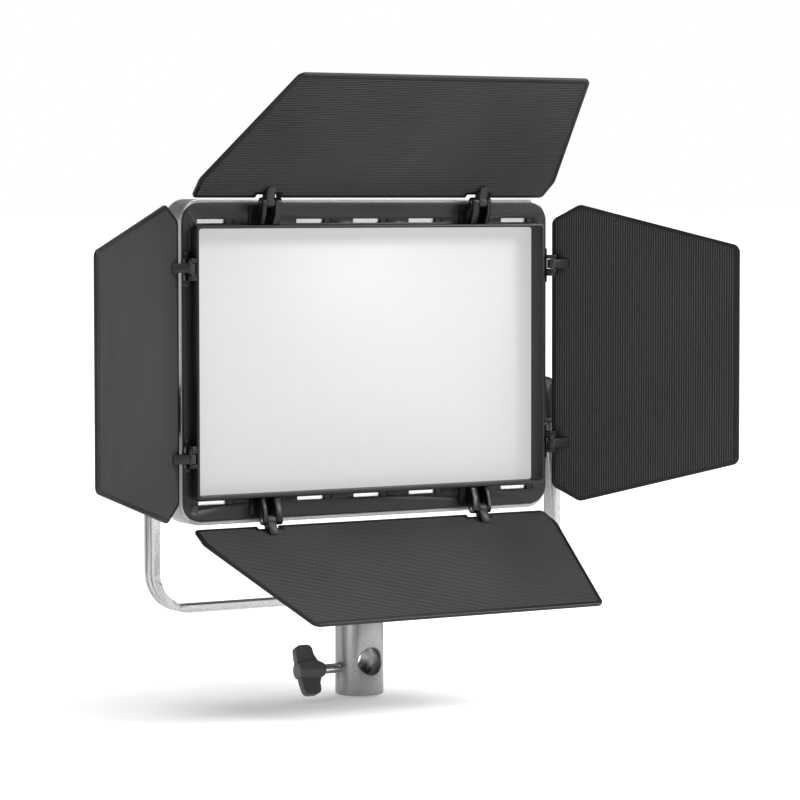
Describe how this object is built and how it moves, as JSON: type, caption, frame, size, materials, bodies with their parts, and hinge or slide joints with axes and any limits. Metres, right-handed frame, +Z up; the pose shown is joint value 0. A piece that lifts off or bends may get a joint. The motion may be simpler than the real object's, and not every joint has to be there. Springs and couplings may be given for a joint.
{
  "type": "led panel light",
  "caption": "Rectangular LED panel light with folding barn-door leaves, on a tilting U bracket with a stand socket and wing screw.",
  "frame": {"origin": "centre of the stand socket's mouth, at the bottom of the bracket", "axes": "+X to the right seen from the lit side, +Y away from the lit face, +Z up out of the stand; -Z points out of the socket"},
  "size_m": [0.4426, 0.1629, 0.377],
  "materials": {
    "satin_aluminium": "satin anodised",
    "black_plastic": "fine-grained moulding",
    "leaf_black": "satin black, ribbed",
    "diffuser_white": "matte opal",
    "tray_silver": "bright",
    "board_white": "solder mask",
    "board_green": "solder mask",
    "chip_yellow": "phosphor",
    "part_dark": "moulded parts",
    "screen_glass": "clear",
    "screen_dark": "display",
    "steel": "turned",
    "dark_steel": "black oxide",
    "knob_rubber": "matte",
    "grip_grey": "moulded",
    "button_grey": "matte",
    "brass": "turned"
  },
  "bodies": {
    "stand_yoke": {"yoke_bracket": "satin_aluminium", "friction_washers": "black_plastic", "stand_socket": "satin_aluminium", "socket_washer": "steel", "socket_bolt": "dark_steel"},
    "panel": {"housing_frame": "satin_aluminium", "front_bezel": "black_plastic", "bezel_plug": "black_plastic", "diffuser": "diffuser_white", "reflector_tray": "tray_silver", "led_board": "board_white", "led_array": "chip_yellow", "heatsink": "tray_silver", "driver_board": "board_green", "board_pillars": "brass", "driver_components": "part_dark", "rear_cover": "black_plastic", "rear_screws": "dark_steel", "control_panel": "black_plastic", "display_window": "screen_glass", "display_module": "screen_dark", "control_board": "board_green", "encoder_brightness": "steel", "encoder_colour": "steel", "rocker_frame": "part_dark", "dc_inlet": "part_dark", "hinge_brackets_top": "black_plastic", "hinge_brackets_bottom": "black_plastic", "hinge_brackets_left": "black_plastic", "hinge_brackets_right": "black_plastic", "hinge_pins": "steel", "pivot_bosses": "black_plastic"},
    "top_leaf": {"leaf_top": "leaf_black", "hinge_tongues_top": "grip_grey"},
    "bottom_leaf": {"leaf_bottom": "leaf_black", "hinge_tongues_bottom": "grip_grey"},
    "left_leaf": {"leaf_left": "leaf_black", "hinge_tongues_left": "grip_grey"},
    "right_leaf": {"leaf_right": "leaf_black", "hinge_tongues_right": "grip_grey"},
    "brightness_knob": {"knob_brightness": "knob_rubber"},
    "colour_knob": {"knob_colour": "knob_rubber"},
    "mode_button": {"button_mode": "button_grey"},
    "set_button": {"button_set": "button_grey"},
    "rocker": {"power_rocker": "part_dark"},
    "tilt_washer_l": {"tilt_washer_left": "steel"},
    "tilt_screw_l": {"tilt_knob_left": "knob_rubber", "tilt_stud_left": "steel"},
    "tilt_washer_r": {"tilt_washer_right": "steel"},
    "tilt_screw_r": {"tilt_knob_right": "knob_rubber", "tilt_stud_right": "steel"},
    "socket_pad": {"clamp_pad": "brass"},
    "socket_wing": {"wing_grip": "grip_grey", "wing_stud": "steel"}
  },
  "joints": [
    {"name": "panel_tilt", "type": "hinge", "parent": "stand_yoke", "child": "panel", "pos_m": [0, 0, 0.177], "axis": [-1, 0, 0], "range_deg": [-10, 90]},
    {"name": "top_leaf_hinge", "type": "hinge", "parent": "panel", "child": "top_leaf", "pos_m": [0, -0.02175, 0.3025], "axis": [-1, 0, 0], "range_deg": [-129, 50]},
    {"name": "bottom_leaf_hinge", "type": "hinge", "parent": "panel", "child": "bottom_leaf", "pos_m": [0, -0.02175, 0.1125], "axis": [1, 0, 0], "range_deg": [-112.6, 58.9]},
    {"name": "left_leaf_hinge", "type": "hinge", "parent": "panel", "child": "left_leaf", "pos_m": [-0.1292, -0.02125, 0.2075], "axis": [0, 0, -1], "range_deg": [-124, 15]},
    {"name": "right_leaf_hinge", "type": "hinge", "parent": "panel", "child": "right_leaf", "pos_m": [0.1292, -0.02125, 0.2075], "axis": [0, 0, 1], "range_deg": [-115, 23]},
    {"name": "brightness_turn", "type": "hinge", "parent": "panel", "child": "brightness_knob", "pos_m": [0.012, 0.03185, 0.1625], "axis": [0, 1, 0], "continuous": true},
    {"name": "colour_turn", "type": "hinge", "parent": "panel", "child": "colour_knob", "pos_m": [0.046, 0.03185, 0.1625], "axis": [0, 1, 0], "continuous": true},
    {"name": "mode_press", "type": "slide", "parent": "panel", "child": "mode_button", "axis": [0, -1, 0], "range_m": [0, 0.0008], "stiffness_N_per_m": 400, "springref_m": -0.003},
    {"name": "set_press", "type": "slide", "parent": "panel", "child": "set_button", "axis": [0, -1, 0], "range_m": [0, 0.0008], "stiffness_N_per_m": 400, "springref_m": -0.003},
    {"name": "power_rock", "type": "hinge", "parent": "panel", "child": "rocker", "pos_m": [-0.095, 0.03185, 0.1625], "axis": [-1, 0, 0], "range_deg": [0, 14]},
    {"name": "tilt_slide_left", "type": "slide", "parent": "panel", "child": "tilt_washer_l", "axis": [-1, 0, 0], "range_m": [0, 0.002]},
    {"name": "tilt_turn_left", "type": "hinge", "parent": "tilt_washer_l", "child": "tilt_screw_l", "pos_m": [-0.1463, 0, 0.177], "axis": [-1, 0, 0], "range_deg": [0, 720]},
    {"name": "tilt_slide_right", "type": "slide", "parent": "panel", "child": "tilt_washer_r", "axis": [1, 0, 0], "range_m": [0, 0.002]},
    {"name": "tilt_turn_right", "type": "hinge", "parent": "tilt_washer_r", "child": "tilt_screw_r", "pos_m": [0.1463, 0, 0.177], "axis": [1, 0, 0], "range_deg": [0, 720]},
    {"name": "clamp_slide", "type": "slide", "parent": "stand_yoke", "child": "socket_pad", "axis": [-1, 0, 0], "range_m": [-0.0021, 0.0041]},
    {"name": "wing_turn", "type": "hinge", "parent": "socket_pad", "child": "socket_wing", "pos_m": [-0.0107, 0, 0.0167], "axis": [-1, 0, 0], "range_deg": [-720, 1440]}
  ],
  "couplings": [
    {"joint": "tilt_slide_left", "follows": "tilt_turn_left", "m_per_rad": 0.00015915},
    {"joint": "tilt_slide_right", "follows": "tilt_turn_right", "m_per_rad": 0.00015915},
    {"joint": "clamp_slide", "follows": "wing_turn", "m_per_rad": 0.00015915}
  ]
}
